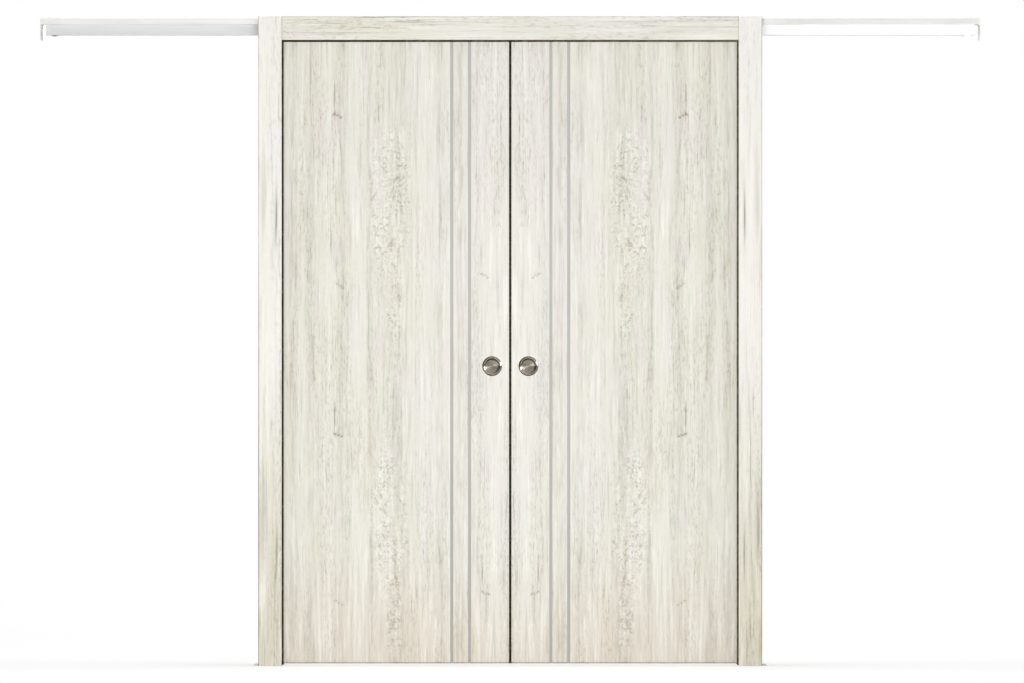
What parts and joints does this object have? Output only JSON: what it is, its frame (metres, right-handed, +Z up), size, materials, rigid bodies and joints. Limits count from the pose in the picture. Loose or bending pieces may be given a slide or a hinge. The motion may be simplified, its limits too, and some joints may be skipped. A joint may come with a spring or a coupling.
{
  "type": "double pocket door",
  "caption": "Double pocket door: flush whitewashed wood doors with inlaid metal strips and round flush pulls, hung from a track in a split frame with flat casings.",
  "frame": {"origin": "on the floor, at the middle of the opening and of the wall's thickness", "axes": "+X along the wall to the right as pictured, -Y towards the viewer, +Z up"},
  "size_m": [3.0506, 0.138, 2.106],
  "materials": {
    "casing_board": "whitewashed woodgrain, matt",
    "door_skin": "whitewashed woodgrain, matt",
    "dark_jamb": "dark brown stain, matt",
    "primed_board": "white primer",
    "core_wood": "planed softwood",
    "core_board": "pressed chipboard",
    "strip_aluminium": "satin anodised",
    "track_aluminium": "natural anodised",
    "satin_nickel": "spun satin nickel",
    "zinc_steel": "bright zinc plate",
    "seal_rubber": "dark brown matt rubber",
    "bumper_rubber": "black rubber",
    "nylon": "moulded nylon"
  },
  "bodies": {
    "frame": {"header": "primed_board", "track": "track_aluminium", "track_walls": "track_aluminium", "frame_fixings": "zinc_steel", "track_stops": "zinc_steel", "stop_bumpers": "bumper_rubber", "end_brackets": "zinc_steel", "front_casing_left": "casing_board", "front_casing_right": "casing_board", "front_casing_head": "casing_board", "back_casing_left": "casing_board", "back_casing_right": "casing_board", "back_casing_head": "casing_board", "left_jambs": "dark_jamb", "right_jambs": "dark_jamb", "head_jambs": "dark_jamb", "head_cleats": "primed_board", "jamb_seals": "seal_rubber", "floor_brackets": "zinc_steel", "guide_fins": "nylon"},
    "right_door": {"right_core_frame": "core_wood", "right_core_fill": "core_board", "right_front_skin": "door_skin", "right_back_skin": "door_skin", "right_edge_bands": "door_skin", "right_strips": "strip_aluminium", "right_front_pull": "satin_nickel", "right_back_pull": "satin_nickel", "right_edge_pull": "satin_nickel", "right_edge_seals": "seal_rubber", "right_bottom_channel": "track_aluminium", "right_hanger_plates": "zinc_steel", "right_plate_screws": "zinc_steel", "right_hanger_bolts": "zinc_steel", "right_lead_trolley": "zinc_steel", "right_rear_trolley": "zinc_steel"},
    "right_lead_wheels_1": {"right_lead_wheels_1": "nylon"},
    "right_lead_wheels_2": {"right_lead_wheels_2": "nylon"},
    "right_rear_wheels_1": {"right_rear_wheels_1": "nylon"},
    "right_rear_wheels_2": {"right_rear_wheels_2": "nylon"},
    "left_door": {"left_core_frame": "core_wood", "left_core_fill": "core_board", "left_front_skin": "door_skin", "left_back_skin": "door_skin", "left_edge_bands": "door_skin", "left_strips": "strip_aluminium", "left_front_pull": "satin_nickel", "left_back_pull": "satin_nickel", "left_edge_pull": "satin_nickel", "left_edge_seals": "seal_rubber", "left_bottom_channel": "track_aluminium", "left_hanger_plates": "zinc_steel", "left_plate_screws": "zinc_steel", "left_hanger_bolts": "zinc_steel", "left_lead_trolley": "zinc_steel", "left_rear_trolley": "zinc_steel"},
    "left_lead_wheels_1": {"left_lead_wheels_1": "nylon"},
    "left_lead_wheels_2": {"left_lead_wheels_2": "nylon"},
    "left_rear_wheels_1": {"left_rear_wheels_1": "nylon"},
    "left_rear_wheels_2": {"left_rear_wheels_2": "nylon"}
  },
  "joints": [
    {"name": "right_door_slide", "type": "slide", "parent": "frame", "child": "right_door", "axis": [1, 0, 0], "range_m": [0, 0.737]},
    {"name": "right_lead_wheels_1_spin", "type": "hinge", "parent": "right_door", "child": "right_lead_wheels_1", "pos_m": [0.065, 0, 2.0617], "axis": [0, 1, 0], "continuous": true},
    {"name": "right_lead_wheels_2_spin", "type": "hinge", "parent": "right_door", "child": "right_lead_wheels_2", "pos_m": [0.103, 0, 2.0617], "axis": [0, 1, 0], "continuous": true},
    {"name": "right_rear_wheels_1_spin", "type": "hinge", "parent": "right_door", "child": "right_rear_wheels_1", "pos_m": [0.667, 0, 2.0617], "axis": [0, 1, 0], "continuous": true},
    {"name": "right_rear_wheels_2_spin", "type": "hinge", "parent": "right_door", "child": "right_rear_wheels_2", "pos_m": [0.705, 0, 2.0617], "axis": [0, 1, 0], "continuous": true},
    {"name": "left_door_slide", "type": "slide", "parent": "frame", "child": "left_door", "axis": [-1, 0, 0], "range_m": [0, 0.737]},
    {"name": "left_lead_wheels_1_spin", "type": "hinge", "parent": "left_door", "child": "left_lead_wheels_1", "pos_m": [-0.065, 0, 2.0617], "axis": [0, -1, 0], "continuous": true},
    {"name": "left_lead_wheels_2_spin", "type": "hinge", "parent": "left_door", "child": "left_lead_wheels_2", "pos_m": [-0.103, 0, 2.0617], "axis": [0, -1, 0], "continuous": true},
    {"name": "left_rear_wheels_1_spin", "type": "hinge", "parent": "left_door", "child": "left_rear_wheels_1", "pos_m": [-0.667, 0, 2.0617], "axis": [0, -1, 0], "continuous": true},
    {"name": "left_rear_wheels_2_spin", "type": "hinge", "parent": "left_door", "child": "left_rear_wheels_2", "pos_m": [-0.705, 0, 2.0617], "axis": [0, -1, 0], "continuous": true}
  ],
  "couplings": [
    {"joint": "right_lead_wheels_1_spin", "follows": "right_door_slide", "rad_per_m": 95.238},
    {"joint": "right_lead_wheels_2_spin", "follows": "right_door_slide", "rad_per_m": 95.238},
    {"joint": "right_rear_wheels_1_spin", "follows": "right_door_slide", "rad_per_m": 95.238},
    {"joint": "right_rear_wheels_2_spin", "follows": "right_door_slide", "rad_per_m": 95.238},
    {"joint": "left_lead_wheels_1_spin", "follows": "left_door_slide", "rad_per_m": 95.238},
    {"joint": "left_lead_wheels_2_spin", "follows": "left_door_slide", "rad_per_m": 95.238},
    {"joint": "left_rear_wheels_1_spin", "follows": "left_door_slide", "rad_per_m": 95.238},
    {"joint": "left_rear_wheels_2_spin", "follows": "left_door_slide", "rad_per_m": 95.238}
  ]
}
